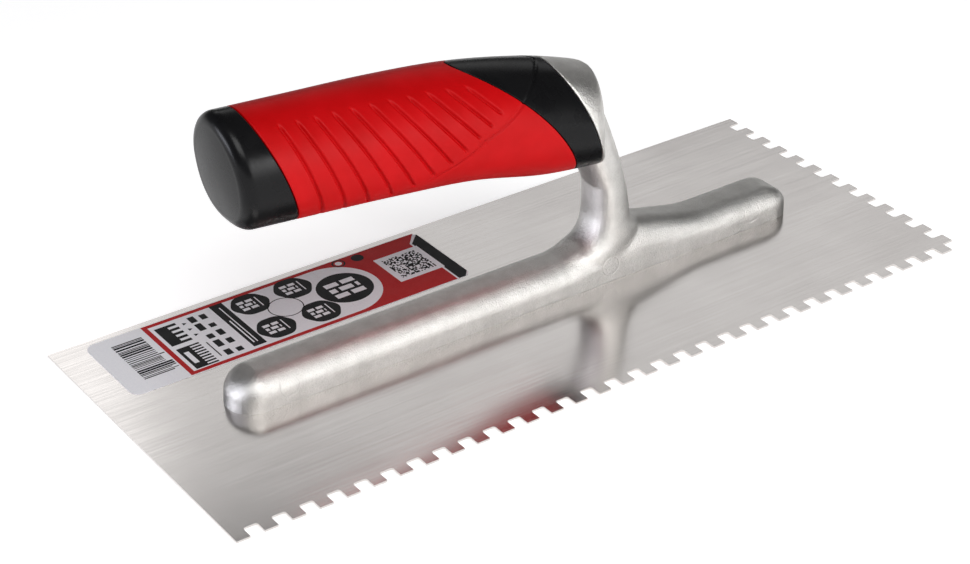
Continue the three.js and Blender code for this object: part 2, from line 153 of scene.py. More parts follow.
MARKS = 4                    # round witness marks along each side of the bar
MARK_FIRST, MARK_SPACING, MARK_Z = -91.8, 61, 6.7
MARK_RADIUS = 3.3
MARK_DEPTH, MARK_LINE = 0.08, 0.2

RIBS = 11                    # grooves across each side of the sleeve
RIB_FIRST, RIB_PITCH, RIB_SPREAD = -90, 5.75, 0.06
RIB_START = 35               # degrees from the crown
RIB_RUN_IN = (RIB_START - 2, RIB_START + 7)
RIB_RUN_OUT = (140, 158)
RIB_SLOPE, RIB_SLOPE_STEP = 0.36, 0.06
RIB_HALF_WIDTH, RIB_DEPTH = 0.42, 1
RIB_STOP = (-0.9, 0.1)
RIB_END_GAP, RIB_END_GAP_FALL = 9.9, 0.067    # from its front end to the sweep, and per degree
SWELL_HEIGHT, SWELL_AHEAD, SWELL_BEHIND = 0.12, 1.6, 0.7

SWEEP_TOP, SWEEP_SLOPE, SWEEP_CURVE = 5.8, 0.133, 0.0023
SWEEP_RUN_OUT = (112, 124)   # degrees from the crown
SWEEP_HALF_WIDTH, SWEEP_DEPTH = 0.34, 0.6
SWEEP_SLANT = 0.8            # distance across the sweep for each millimetre along X

around = np.linspace(0, 2 * math.pi, 320, endpoint=False)


# ------------------------------------------------------------------ mesh helpers
def mesh_object(name, points, faces, smooth=True):
    mesh = bpy.data.meshes.new(name)
    mesh.from_pydata((np.asarray(points, float) * MM).tolist(), [], faces)
    tidy = bmesh.new()
    tidy.from_mesh(mesh)
    bmesh.ops.recalc_face_normals(tidy, faces=tidy.faces)
    tidy.to_mesh(mesh)
    tidy.free()
    mesh.polygons.foreach_set("use_smooth", [smooth] * len(mesh.polygons))
    mesh.update()
    piece = bpy.data.objects.new(name, mesh)
    bpy.context.scene.collection.objects.link(piece)
    return piece


def strips(ring_count, side_count, closed=False):
    """Quads between successive rings; a closed loft joins its last ring to its first."""
    faces = []
    for r in range(ring_count if closed else ring_count - 1):
        low, high = r * side_count, ((r + 1) % ring_count) * side_count
        for i in range(side_count):
            after = (i + 1) % side_count
            faces.append((low + i, low + after, high + after, high + i))
    return faces


def loft(rings, ends):
    """Points and faces of a skin over rings. ends is "ring" for a skin that closes on itself,
    "fan" to close each end at its middle, or "mirror" to close it across y = 0."""
    rings = np.asarray(rings, float)
    ring_count, side_count = rings.shape[:2]
    points = rings.reshape(-1, 3)
    faces = strips(ring_count, side_count, ends == "ring")
    for start in (0, (ring_count - 1) * side_count):
        if ends == "fan":
            middle = points[start:start + side_count].mean(0)
            points = np.vstack([points, middle])
            tip = len(points) - 1
            faces += [(start + i, start + (i + 1) % side_count, tip) for i in range(side_count)]
        if ends == "mirror":
            half = side_count // 2
            faces.append((start, start + 1, start + side_count - 1))
            faces.append((start + half - 1, start + half, start + half + 1))
            for i in range(1, half - 1):
                faces.append((start + i, start + i + 1,
                              start + side_count - i - 1, start + side_count - i))
    return points, faces


def joined(skins):
    """Points and faces of several skins as one."""
    points, faces = [], []
    for skin_points, skin_faces in skins:
        shift = sum(len(p) for p in points)
        points.append(skin_points)
        faces += [tuple(shift + i for i in face) for face in skin_faces]
    return np.vstack(points), faces


def baked(piece):
    """Applies the piece's modifiers."""
    depsgraph = bpy.context.evaluated_depsgraph_get()
    mesh = bpy.data.meshes.new_from_object(piece.evaluated_get(depsgraph))
    piece.modifiers.clear()
    piece.data = mesh
    mesh.name = piece.name
    mesh.polygons.foreach_set("use_smooth", [True] * len(mesh.polygons))


def finished(piece, material, slot, *replaced):
    """Gives a piece its material and body, and the CAD nodes that it stands for. The slot argument is not
    used.
    """
    piece.data.materials.clear()
    piece.data.materials.append(material)
    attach(piece, "root")
    if replaced:
        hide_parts(*replaced)


def smoothstep(low, high, value):
    share = np.clip((value - low) / (high - low), 0, 1)
    return share * share * (3 - 2 * share)


# ------------------------------------------------------------------ grip surface
def oval(angle, exponent):
    """Point of a unit superellipse."""
    c, s = np.cos(angle), np.sin(angle)
    return np.sign(c) * np.abs(c) ** (2 / exponent), np.sign(s) * np.abs(s) ** (2 / exponent)


def catmull_rom(points, share):
    """A smooth line through the points, at each share of their count."""
    points = np.asarray(points, float)
    last = len(points) - 1
    place = share * last
    i = np.minimum(place.astype(int), last - 1)
    w = (place - i)[:, None]
    padded = np.vstack([points[:1], points, points[-1:]])
    a, b, c, d = (padded[i + k] for k in range(4))
    return 0.5 * (2 * b + (c - a) * w + (2 * a - 5 * b + 4 * c - d) * w**2
                  + (3 * b - a - 3 * c + d) * w**3)


line_share = np.linspace(0, 1, 2001)
station_x = [GRIP_REAR + i * GRIP_STATION for i in range(len(GRIP_CROWN))]
line_x, crown_z = catmull_rom(list(zip(station_x, GRIP_CROWN)), line_share).T
belly_z = catmull_rom(list(zip(station_x, GRIP_BELLY)), line_share)[:, 1]
line_width = GRIP_HALF_WIDTH[0] + (GRIP_HALF_WIDTH[1] - GRIP_HALF_WIDTH[0]) * line_share


def grip_point(x, angle, inset=0.0):
    """Points of the grip's outer form, drawn in by inset. Angle 0 is the crown, and it grows by -Y."""
    crown, belly = np.interp(x, line_x, crown_z), np.interp(x, line_x, belly_z)
    half_height = (crown - belly) / 2 - inset
    half_width = np.interp(x, line_x, line_width) - inset
    up, across = oval(angle, np.where(np.cos(angle) > 0, CROWN_ROUNDNESS, BELLY_ROUNDNESS))
    y = -half_width * across
    return np.stack([x + 0 * y, y, (crown + belly) / 2 + half_height * up], -1)


def bezier_x(edge, z):
    """X of a side-view edge at height z, upright beyond its ends."""
    t = np.linspace(0, 1, 200)[:, None]
    a, b, c = (np.array(point, float) for point in edge)
    line = (1 - t)**2 * a + 2 * t * (1 - t) * b + t**2 * c
    return np.interp(z, line[::-1, 1], line[::-1, 0])


def edge_x(edge, angle, inset=0.0):
    """X at which the grip's form meets a side-view edge."""
    x = np.full_like(angle, edge[1][0], dtype=float)
    for _ in range(60):
        x = bezier_x(edge, grip_point(x, angle, inset)[..., 2])
    return x


rake_up = (COLLAR_TOP - COLLAR_BOTTOM).normalized()
rake_out = Vector((rake_up.y, -rake_up.x))


def rake_x(angle, forward, inset=0.0):
    """X at which the grip's form meets the raked face moved forward."""
    x = np.full_like(angle, COLLAR_BOTTOM.x, dtype=float)
    for _ in range(60):
        z = grip_point(x, angle, inset)[..., 2]
        x = COLLAR_BOTTOM.x + (forward - (z - COLLAR_BOTTOM.y) * rake_out.y) / rake_out.x
    return x


# ------------------------------------------------------------------ grooves in the grip
def side_angle(angle):
    """Degrees from the crown, the same on both sides."""
    return np.degrees(np.arccos(np.cos(angle)))


def sweep_x(degrees):
    """The long curved groove that runs from the crown of the collar down the sleeve."""
    return SWEEP_TOP - SWEEP_SLOPE * degrees - SWEEP_CURVE * degrees**2


def cut(distance, half_width, depth):
    """Depth of a soft-edged groove at a distance from its middle."""
    return depth * np.exp(-(distance / half_width) ** 2)


def sweep_depth(x, angle):
    degrees = side_angle(angle)
    fade = 1 - smoothstep(*SWEEP_RUN_OUT, degrees)
    return fade * cut((x - sweep_x(degrees)) * SWEEP_SLANT, SWEEP_HALF_WIDTH, SWEEP_DEPTH)


def rib_depth(x, angle):
    """Slanting grooves down the side of the sleeve, each between two low swells."""
    degrees = side_angle(angle)
    z = grip_point(x, angle)[..., 2]
    end_gap = RIB_END_GAP - RIB_END_GAP_FALL * degrees
    stop = 1 - smoothstep(*RIB_STOP, x - (sweep_x(degrees) - end_gap))
    begin = smoothstep(*RIB_RUN_IN, degrees)
    total = np.zeros_like(x)
    for i in range(RIBS):
        start = RIB_FIRST + i * RIB_PITCH + i**2 * RIB_SPREAD
        start_z = grip_point(start, math.radians(RIB_START))[..., 2]
        slope = RIB_SLOPE + RIB_SLOPE_STEP * i
        distance = (x - start - slope * (start_z - z)) / math.hypot(1, slope)
        swell = np.exp(-(distance / np.where(distance > 0, SWELL_AHEAD, SWELL_BEHIND)) ** 2)
        total += cut(distance, RIB_HALF_WIDTH, RIB_DEPTH) - SWELL_HEIGHT * swell
    return total * begin * stop * (1 - smoothstep(*RIB_RUN_OUT, degrees))


def rounded_edge(distance, radius):
    """How far a surface is drawn in at a distance from its rounded edge."""
    reach = np.clip(distance, 0, radius)
    return radius - np.sqrt(np.maximum(radius**2 - (radius - reach) ** 2, 0))


def shell_rings(x_from, x_to, depth):
    """Rings over the grip's surface between two edges, which may differ at each angle."""
    count = int((x_to - x_from).max() / RING_SPACING)
    flat = x_to - x_from - 2 * EDGE_STEPS[-1]
    columns = [x_from + step for step in EDGE_STEPS]
    columns += [x_from + EDGE_STEPS[-1] + share * flat for share in np.linspace(0, 1, count)[1:-1]]
    columns += [x_to - step for step in EDGE_STEPS[::-1]]
    rings = []
    for x in columns:
        inset = rounded_edge(x - x_from, EDGE_RADIUS) + rounded_edge(x_to - x, EDGE_RADIUS)
        rings.append(grip_point(x, around, inset + depth(x, around)))
    return rings


def make_sleeve():
    rear, front = edge_x(SLEEVE_REAR_EDGE, around) + GAP, edge_x(SLEEVE_FRONT_EDGE, around)
    outer = shell_rings(rear, front, lambda x, angle: rib_depth(x, angle) + sweep_depth(x, angle))
    inner = [grip_point(front + (rear - front) * share, around, WALL)
             for share in np.linspace(0, 1, 40)]
    return mesh_object("sleeve", *loft(outer + inner, "ring"))


def make_core():
    front_edge = edge_x(SLEEVE_FRONT_EDGE, around) + GAP
    rings = shell_rings(front_edge, rake_x(around, -GAP), sweep_depth)
    socket_mouth = rake_x(around, -GAP, SOCKET_INSET)
    rings.append(grip_point(socket_mouth, around, SOCKET_INSET))
    for share in np.linspace(0, 1, 30):
        x = socket_mouth * (1 - share) + CORE_REAR * share
        rings.append(grip_point(x, around, SOCKET_INSET))
    for share in np.linspace(0, 1, 30):
        x = CORE_REAR * (1 - share) + (front_edge - 0.1) * share
        rings.append(grip_point(x, around, WALL + GAP))
    return mesh_object("collar_and_core", *loft(rings, "ring"))


def end_x(inset, forward):
    """X of the grip's leaning rear face round its outline drawn in by inset, moved forward."""
    z = grip_point(np.full_like(around, GRIP_REAR), around, inset)[..., 2]
    return GRIP_REAR + forward - GRIP_END_LEAN * (z - END_MIDDLE)


def make_cap():
    """The cap's skin from the back of its hollow, round its edge, to the domed rear face."""
    edge = edge_x(SLEEVE_REAR_EDGE, around)
    cavity_rear = CORE_REAR - GAP
    rings = []
    wall = grip_point(np.full_like(around, cavity_rear), around, WALL)
    for scale in np.linspace(0.05, 1, 6):
        rings.append(wall.mean(0) * (1 - scale) + wall * scale)
    for share in np.linspace(0.1, 1, 6):
        rings.append(grip_point(cavity_rear + (edge - cavity_rear) * share, around, WALL))
    for step in EDGE_STEPS:
        rings.append(grip_point(edge - step, around, rounded_edge(step + 0 * edge, EDGE_RADIUS)))
    for share in np.linspace(0, 1, 30)[1:]:
        x = (edge - EDGE_STEPS[-1]) * (1 - share) + end_x(0, GRIP_END_RADIUS) * share
        rings.append(grip_point(x, around))
    for turn in np.linspace(0, math.pi / 2, 20)[1:]:
        inset = GRIP_END_RADIUS * (1 - math.cos(turn))
        rings.append(grip_point(end_x(inset, GRIP_END_RADIUS * (1 - math.sin(turn))), around, inset))
    flat = rings[-1]
    for scale in (0.95, 0.85, 0.7, 0.5, 0.3, 0.1, 0.02):
        ring = flat.mean(0) * (1 - scale) + flat * scale
        ring[:, 0] -= END_DOME * (1 - scale**2)
        rings.append(ring)
    return mesh_object("cap", *loft(rings, "fan"))


# ------------------------------------------------------------------ spine casting
def bar_height(x):
    """Height of the bar over the blade, with its climb to the foot of the post."""
    x = np.asarray(x, float)
    climb = RISE_SLOPE * RISE_BLEND * np.log1p(np.exp((RISE_START - np.maximum(x, RISE_PEAK)) / RISE_BLEND))
    fall = np.clip((x - RISE_REAR) / (RISE_PEAK - RISE_REAR), 0, 1)
    return BAR_HEIGHT + climb * np.where(x < RISE_PEAK, fall, 1)


def bar_ring(inset, share):
    """The bar's outline from above, drawn in by inset, at a share of the bar's height."""
    half_width = BAR_HALF_WIDTH - inset
    corner_x = CASTING_HIGH.x - BAR_FRONT_REACH
    rear_x = CASTING_LOW.x + BAR_HALF_WIDTH
    reach = BAR_FRONT_REACH - inset * BAR_FRONT_DRAW
    ahead, aside = oval(np.linspace(0, math.pi / 2, 24), BAR_FRONT_ROUNDNESS)
    corner = np.stack([corner_x + reach * ahead,
                       BAR_HALF_WIDTH - BAR_FRONT_CORNER + (BAR_FRONT_CORNER - inset) * aside], -1)
    along = np.linspace(corner_x, rear_x, 220)[1:-1]
    side = np.stack([along, np.full_like(along, half_width)], -1)
    reach = BAR_HALF_WIDTH - inset * BAR_REAR_DRAW - BAR_REAR_LEAN * share
    turn = np.linspace(0, math.pi / 2, 24)
    rear = np.stack([rear_x - reach * np.sin(turn), half_width * np.cos(turn)], -1)
    rear[-1, 1] = 0
    half = np.vstack([[[corner[0, 0], 0]], corner, side, rear])
    other = half[1:-1][::-1] * [1, -1]
    plan = np.vstack([half, other])
    height = share * bar_height(plan[:, 0]) if share > 0 else -FOOT_SUNK
    return np.column_stack([plan, BLADE_TOP + height + 0 * plan[:, 0]])


def make_bar():
    rings = [bar_ring(0, 0)]
    for turn in np.linspace(0, math.pi / 2, 14):
        inset = BAR_TOP_RADIUS * (1 - math.cos(turn))
        rings.append(bar_ring(inset, 1 - (BAR_TOP_RADIUS / BAR_HEIGHT) * (1 - math.sin(turn))))
    return loft(rings, "mirror")


def fillet_reach(radius, height):
    """Where a round fillet stands out from the wall that it meets, at a height."""
    if height >= radius:
        return 0
    return radius - math.sqrt(radius**2 - (radius - max(height, 0)) ** 2)


def make_post():
    floor = BLADE_TOP + BAR_HEIGHT
    foot = floor + RISE_SLOPE * (RISE_START - RISE_PEAK)
    turn = np.linspace(0, 2 * math.pi, 96, endpoint=False)
    along, across = oval(turn, POST_ROUNDNESS)
    rings = []
    for z in np.linspace(POST_BOTTOM, POST_TOP, 110):
        above = z - POST_FOOT
        rake = COLLAR_BOTTOM.x + (z - COLLAR_BOTTOM.y) * rake_up.x / rake_up.y
        rear = min(POST_REAR - fillet_reach(POST_REAR_FILLET, z - floor), rake)
        front = POST_FRONT - POST_FRONT_SLOPE * above - POST_FRONT_CURVE * max(above, 0) ** 2
        front += fillet_reach(POST_FRONT_FILLET, z - foot)
        half_width = BAR_HALF_WIDTH - POST_DRAFT * (z - POST_BOTTOM)
        x = (front + rear) / 2 + along * (front - rear) / 2
        rings.append(np.stack([x, across * half_width, np.full_like(x, z)], -1))
    return loft(rings, "fan")


def make_head():
    """Rings parallel to the raked face, from the grip's own section to the nose."""
    rings = []
    for turn in np.linspace(0, math.pi / 2, 22):
        share = HEAD_BLUNT * math.sin(turn)
        forward = HEAD_DEPTH * share
        nose = (1 - share**NOSE_START) ** (1 / NOSE_END)
        base = grip_point(rake_x(around, 0), around)
        rise = (base[:, 0] - COLLAR_BOTTOM.x) * rake_up.x + (base[:, 2] - COLLAR_BOTTOM.y) * rake_up.y
        low, high = rise.min(), rise.max()
        crown = high - CROWN_FALL * forward
        chin = low + CHIN_RISE * forward
        rise = chin + (rise - low) / (high - low) * (crown - chin)
        x = COLLAR_BOTTOM.x + rise * rake_up.x + forward * rake_out.x
        z = COLLAR_BOTTOM.y + rise * rake_up.y + forward * rake_out.y
        rings.append(np.stack([x, base[:, 1] * nose, z], -1))
    return loft(rings, "fan")


def make_flange():
    steps = np.linspace(0, FLANGE_THICKNESS, 4)
    return loft([grip_point(rake_x(around, step), around) for step in steps], "fan")


def make_tang():
    turn = np.linspace(0, 2 * math.pi, 64, endpoint=False)
    up, across = oval(turn, TANG_ROUNDNESS)
    rings = []
    for x in np.linspace(TANG_REAR, TANG_FRONT, 24):
        middle = (np.interp(x, line_x, crown_z) + np.interp(x, line_x, belly_z)) / 2
        rings.append(np.stack([np.full_like(up, x), -TANG_HALF_WIDTH * across,
                               middle + TANG_HALF_HEIGHT * up], -1))
    return loft(rings, "fan")


def press_marks(piece):
    """Shallow round witness lines along both sides of the bar."""
    grid = bmesh.new()
    grid.from_mesh(piece.data)
    reach = MARK_RADIUS + 1
    centres = [Vector((MARK_FIRST + i * MARK_SPACING, side * BAR_HALF_WIDTH, MARK_Z)) * MM
               for i in range(MARKS) for side in (-1, 1)]

    def near(vertex, centre):
        flat = (vertex.co - centre) / MM
        return abs(flat.y) < 1 and math.hypot(flat.x, flat.z) < reach

    for _ in range(2):
        edges = [edge for edge in grid.edges
                 if any(near(edge.verts[0], c) and near(edge.verts[1], c) for c in centres)]
        bmesh.ops.subdivide_edges(grid, edges=edges, cuts=1, use_grid_fill=True)
    for vertex in grid.verts:
        for centre in centres:
            if near(vertex, centre):
                flat = (vertex.co - centre) / MM
                away = math.hypot(flat.x, flat.z) - MARK_RADIUS
                depth = MARK_DEPTH * math.exp(-(away / MARK_LINE) ** 2)
                vertex.co.y -= math.copysign(depth, centre.y) * MM
    grid.to_mesh(piece.data)
    grid.free()


def fillet_weight(point):
    """How far a point of the casting lies in the corners that are blended over a wide radius."""
    ahead = (point.x - COLLAR_BOTTOM.x) * rake_out.x + (point.z - COLLAR_BOTTOM.y) * rake_out.y
    over_bar = point.z - BLADE_TOP - BAR_HEIGHT
    foot = smoothstep(*FOOT_LOW, over_bar) * (1 - smoothstep(*FOOT_HIGH, over_bar))
    foot = foot * smoothstep(*FOOT_REAR, point.x) * (1 - smoothstep(*FOOT_FRONT, point.x))
    neck = smoothstep(*NECK_AHEAD, ahead) * (1 - smoothstep(*NECK_HIGH, point.z))
    neck = neck * smoothstep(*NECK_LOW, point.z)
    return float(max(foot, neck))


def make_casting():
    """The bar, post, head, flange and tang fused and smoothed into one skin."""
    skins = [make_bar(), make_post(), make_head(), make_flange(), make_tang()]
    piece = mesh_object("spine_and_post", *joined(skins))
    remesh = piece.modifiers.new("cast", "REMESH")
    remesh.mode = "VOXEL"
    remesh.voxel_size = CAST_VOXEL * MM
    baked(piece)
    fillets = piece.vertex_groups.new(name="fillets")
    for vertex in piece.data.vertices:
        weight = fillet_weight(vertex.co / MM)
        if weight > 0:
            fillets.add([vertex.index], weight, "REPLACE")
    for name, iterations, group in (("blend", BLEND_ROUNDS, "fillets"), ("soften", SOFTEN_ROUNDS, "")):
        smooth = piece.modifiers.new(name, "SMOOTH")
        smooth.factor = 0.5
        smooth.iterations = iterations
        smooth.vertex_group = group
    baked(piece)
    press_marks(piece)
    piece.data.polygons.foreach_set("use_smooth", [True] * len(piece.data.polygons))
    return piece


# ------------------------------------------------------------------ materials
class Finish:
    """A Principled material and the few nodes that shade it."""

    def __init__(self, name, **values):
        self.material = bpy.data.materials.new(name)
        self.material.use_nodes = True
        self.tree = self.material.node_tree
        self.shader = self.tree.nodes["Principled BSDF"]
        self.coordinates = self.tree.nodes.new("ShaderNodeTexCoord").outputs["Object"]
        for socket, value in values.items():
            self.shader.inputs[socket.replace("_", " ")].default_value = value

    def node(self, kind, **links):
        made = self.tree.nodes.new(kind)
        for socket, value in links.items():
            self.give(made.inputs[socket.replace("_", " ")], value)
        return made

    def give(self, socket, value):
        if isinstance(value, bpy.types.NodeSocket):
            self.tree.links.new(value, socket)
        else:
            socket.default_value = value

    def stretched(self, x, y, z):
        """Object coordinates in millimetres, scaled along each axis."""
        mapping = self.node("ShaderNodeMapping", Vector=self.coordinates)
        mapping.inputs["Scale"].default_value = (x / MM, y / MM, z / MM)
        return mapping.outputs["Vector"]

    def noise(self, size, detail=3.0, roughness=0.55, vector=None):
        """Noise whose lumps are about size millimetres across."""
        made = self.node("ShaderNodeTexNoise", Vector=vector or self.stretched(1, 1, 1),
                         Scale=1 / size, Detail=detail, Roughness=roughness)
        return made.outputs["Fac"]

    def ramp(self, value, stops):
        made = self.node("ShaderNodeValToRGB", Fac=value)
        while len(made.color_ramp.elements) < len(stops):
            made.color_ramp.elements.new(0.5)
        for element, (place, colour) in zip(made.color_ramp.elements, stops):
            element.position = place
            element.color = (*colour, 1) if len(colour) == 3 else colour
        return made.outputs["Color"]

    def between(self, value, low, high, from_low=0.3, from_high=0.7):
        made = self.node("ShaderNodeMapRange", Value=value)
        for socket, number in (("From Min", from_low), ("From Max", from_high),
                               ("To Min", low), ("To Max", high)):
            made.inputs[socket].default_value = number
        return made.outputs["Result"]

    def bump(self, height, distance, strength=1.0, normal=None):
        """Bump whose full height is distance millimetres."""
        made = self.node("ShaderNodeBump", Height=height)
        made.inputs["Strength"].default_value = strength
        made.inputs["Distance"].default_value = distance * MM
        if normal is not None:
            self.tree.links.new(normal, made.inputs["Normal"])
        return made.outputs["Normal"]

    def set(self, socket, value):
        self.tree.links.new(value, self.shader.inputs[socket])


def stainless():
    finish = Finish("stainless_sheet", Metallic=1.0)
    grain = finish.noise(1, 4, 0.6, finish.stretched(0.03, 2.2, 2.2))
    cloud = finish.noise(38, 2)
    speck = finish.noise(0.9, 2, 0.5)
    tone = finish.ramp(cloud, [(0.3, (0.60, 0.572, 0.556)), (0.7, (0.66, 0.632, 0.616))])
    dust = finish.ramp(speck, [(0.0, (1, 1, 1)), (0.76, (1, 1, 1)), (0.8, (0.72, 0.72, 0.72))])
    mix = finish.node("ShaderNodeMix")
    mix.data_type = "RGBA"
    mix.blend_type = "MULTIPLY"
    mix.inputs["Factor"].default_value = 1
    finish.tree.links.new(tone, mix.inputs["A"])
    finish.tree.links.new(dust, mix.inputs["B"])
    finish.set("Base Color", mix.outputs["Result"])
    finish.set("Roughness", finish.between(grain, 0.13, 0.22))
    finish.set("Normal", finish.bump(grain, 0.004, 0.25))
    return finish.material


def cast_aluminium():
    finish = Finish("cast_aluminium", Metallic=1.0)
    grain = finish.noise(0.55, 4, 0.65)
    patch = finish.noise(6, 3, 0.6)
    flow = finish.noise(2.2, 2)
    finish.set("Base Color", finish.ramp(patch, [(0.3, (0.64, 0.625, 0.60)), (0.7, (0.78, 0.765, 0.74))]))
    finish.set("Roughness", finish.between(grain, 0.32, 0.46))
    first = finish.bump(flow, 0.12, 0.6)
    finish.set("Normal", finish.bump(grain, 0.22, 1, first))
    return finish.material


def black_plastic():
    finish = Finish("black_plastic")
    finish.shader.inputs["Specular IOR Level"].default_value = 0.16
    grain = finish.noise(0.35, 3, 0.6)
    patch = finish.noise(9, 2)
    dark, light = (0.0045, 0.0045, 0.005), (0.0065, 0.0065, 0.007)
    finish.set("Base Color", finish.ramp(patch, [(0.3, dark), (0.7, light)]))
    finish.set("Roughness", finish.between(patch, 0.24, 0.3))
    finish.set("Normal", finish.bump(grain, 0.01, 0.5))
    return finish.material


def red_rubber():
    finish = Finish("red_rubber")
    finish.shader.inputs["Specular IOR Level"].default_value = 0.14
    grain = finish.noise(0.3, 3, 0.6)
    patch = finish.noise(11, 2)
    finish.set("Base Color", finish.ramp(patch, [(0.3, (0.46, 0.0, 0.001)), (0.7, (0.53, 0.001, 0.003))]))
    finish.set("Roughness", finish.between(grain, 0.42, 0.52))
    finish.set("Normal", finish.bump(grain, 0.015, 0.5))
    return finish.material


def fastener_steel():
    finish = Finish("fastener_steel", Metallic=1.0)
    grain = finish.noise(0.5, 3)
    finish.set("Base Color", finish.ramp(grain, [(0.3, (0.46, 0.455, 0.45)), (0.7, (0.58, 0.575, 0.57))]))
    finish.set("Roughness", finish.between(grain, 0.28, 0.42))
    return finish.material


def printed(name, dark, light):
    finish = Finish(name)
    finish.shader.inputs["Specular IOR Level"].default_value = 0.1
    finish.shader.inputs["Coat Weight"].default_value = 0.05
    finish.shader.inputs["Coat Roughness"].default_value = 0.2
    fleck = finish.noise(0.7, 3)
    finish.set("Base Color", finish.ramp(fleck, [(0.3, dark), (0.7, light)]))
    finish.set("Roughness", finish.between(finish.noise(5, 2), 0.38, 0.5))
    return finish.material


# ------------------------------------------------------------------ label
FILM_TOP = LABEL_HIGH.z
INK = 0.012                  # step in height from each printed layer to the next
MARGIN = 0.25                # bare film round the print
NEAR, FAR = LABEL_LOW.y, LABEL_HIGH.y
CENTRE = (NEAR + FAR) / 2
FILM_CORNER = 4
FIELD_LEFT, TAB_LEFT = -109, -9.4
FRAME_LINE = 1.7
DISC_X, DISC_RADIUS = -42.6, 9.6
LOBE_X, LOBE_RADIUS = DISC_X - 3.5, (FAR - NEAR) / 2 - MARGIN - FRAME_LINE
BADGES = [(-56.6, 49.8), (-73, 49.2), (-73.3, 31.8), (-56.6, 31.7)]
BADGE_RADIUS, BADGE_CORNER = 7.3, 2.6
RING_X, RING_Y, RING_RADIUS = -64.6, 40.7, 6
SEAL = (-36, FAR - 2.8)
SECOND_SEAL = (-28.8, FAR - 3.2)
BARS_LEFT, BARS_NEAR, BARS_FAR = -121.9, 29, 52
BAR_REACH, LONG_BAR_REACH, LONG_BAR_ODDS = 10.6, 12.4, 0.12
MOSAIC_LEFT, MOSAIC_NEAR, MOSAIC_SIZE, MOSAIC_CELLS = -23.6, 33.8, 13.4, 25
MOSAIC_BORDER, MOSAIC_ODDS, MOSAIC_FILL = 2, 0.52, 0.98

# left, right, near and far sides of the plain shapes
RULE = (-96.2, -95.8, 27, 37)
BLOCK = (-85, -80.3, 25.7, 55.6)
BLOCK_LINES = [(-83.9, -83.4, 28, 44), (-82.6, -82.2, 28, 53)]
COMB_WINDOW = (-104.9, -103.2, 28, 35.5)
COMB_LEFT = -106
COMBS = [(-98.6, 41, 53.4, 5), (-98, 24.8, 38.6, 9)]     # right, near, far and number of teeth
POINTER_X, POINTER_RADIUS, POINTERS = -96.4, 0.9, (43, 47, 51)
WORD_NEAR, WORD_PITCH = 26.2, 5.9
WORD_COLUMNS = [(-94.2, -91.9), (-90.3, -88.1)]
WORD_LENGTHS = [(3.4, 2.5), (4.3, 3.2), (2.8, 3.6), (4.6, 2.4), (3.8, 3.1)]     # in each row


def prism(outline, bottom, top):
    """Points and faces of a flat shape with upright sides."""
    count = len(outline)
    points = [(x, y, z) for z in (bottom, top) for x, y in outline]
    faces = [tuple(range(count))[::-1], tuple(range(count, 2 * count))]
    faces += [(i, (i + 1) % count, count + (i + 1) % count, count + i) for i in range(count)]
    return np.array(points, float), faces


def band(outer, inner, bottom, top):
    """A flat band between two outlines with the same number of points."""
    rings = [[(x, y, z) for x, y in line] for line, z in
             ((outer, bottom), (outer, top), (inner, top), (inner, bottom))]
    return loft(rings, "ring")


def rectangle(left, right, near, far):
    """Corners of a rectangle, from its left near corner round."""
    return [(left, near), (right, near), (right, far), (left, far)]


def softened(corners, radius):
    """The outline with each of its corners rounded."""
    outline = []
    for i, corner in enumerate(corners):
        corner, before, after = (Vector(point) for point in (corner, corners[i - 1],
                                                             corners[(i + 1) % len(corners)]))
        start = corner + (before - corner).normalized() * radius
        end = corner + (after - corner).normalized() * radius
        for t in np.linspace(0, 1, 7).tolist():
            outline.append(tuple(start * (1 - t)**2 + corner * 2 * t * (1 - t) + end * t**2))
    return outline


def polygon(x, y, radius, sides):
    angles = [2 * math.pi * i / sides for i in range(sides)]
    return [(x + radius * math.cos(a), y + radius * math.sin(a)) for a in angles]


def ring(x, y, radius, line):
    outer, inner = polygon(x, y, radius, 48), polygon(x, y, radius - line, 48)
    return band(outer, inner, FILM_TOP - INK, FILM_TOP + 2 * INK)


def comb(left, right, near, far, teeth):
    """A bar with square teeth along its right side."""
    outline = [(left, near), (right, near)]
    pitch = (far - near) / (2 * teeth - 1)
    root = left + (right - left) * 0.55
    for i in range(teeth - 1):
        start = near + (2 * i + 1) * pitch
        outline += [(right, start), (root, start), (root, start + pitch), (right, start + pitch)]
    return outline + [(right, far), (left, far)]


def layer(shapes, level):
    """Flat shapes as one skin, as many steps of ink over the film as level."""
    bottom, top = FILM_TOP - INK, FILM_TOP + INK * level
    return joined([prism(shape, bottom, top) for shape in shapes])


def stripes():
    """A row of bars of mixed widths, as on a price label, with a few longer ones."""
    bars = []
    place = BARS_NEAR
    while place < BARS_FAR:
        width = random.choice((0.35, 0.5, 0.5, 0.9))
        reach = BARS_LEFT + (LONG_BAR_REACH if random.random() < LONG_BAR_ODDS else BAR_REACH)
        bars.append(rectangle(BARS_LEFT, reach, place, place + width))
        place += width + random.choice((0.3, 0.4, 0.65))
    return bars


def courses(x, y, width, height):
    """Three rows of brick shapes round a point, the middle row half a brick along."""
    gap = height / 8
    length, rise = (width - gap) / 2, (height - 2 * gap) / 3
    bricks = []
    for row in range(3):
        near = y - height / 2 + row * (rise + gap)
        starts = (0, length + gap) if row != 1 else (-length / 2, length / 2 + gap, 1.5 * length + 2 * gap)
        for start in starts:
            left, right = max(start, 0), min(start + length, width)
            bricks.append(rectangle(x - width / 2 + left, x - width / 2 + right, near, near + rise))
    return bricks


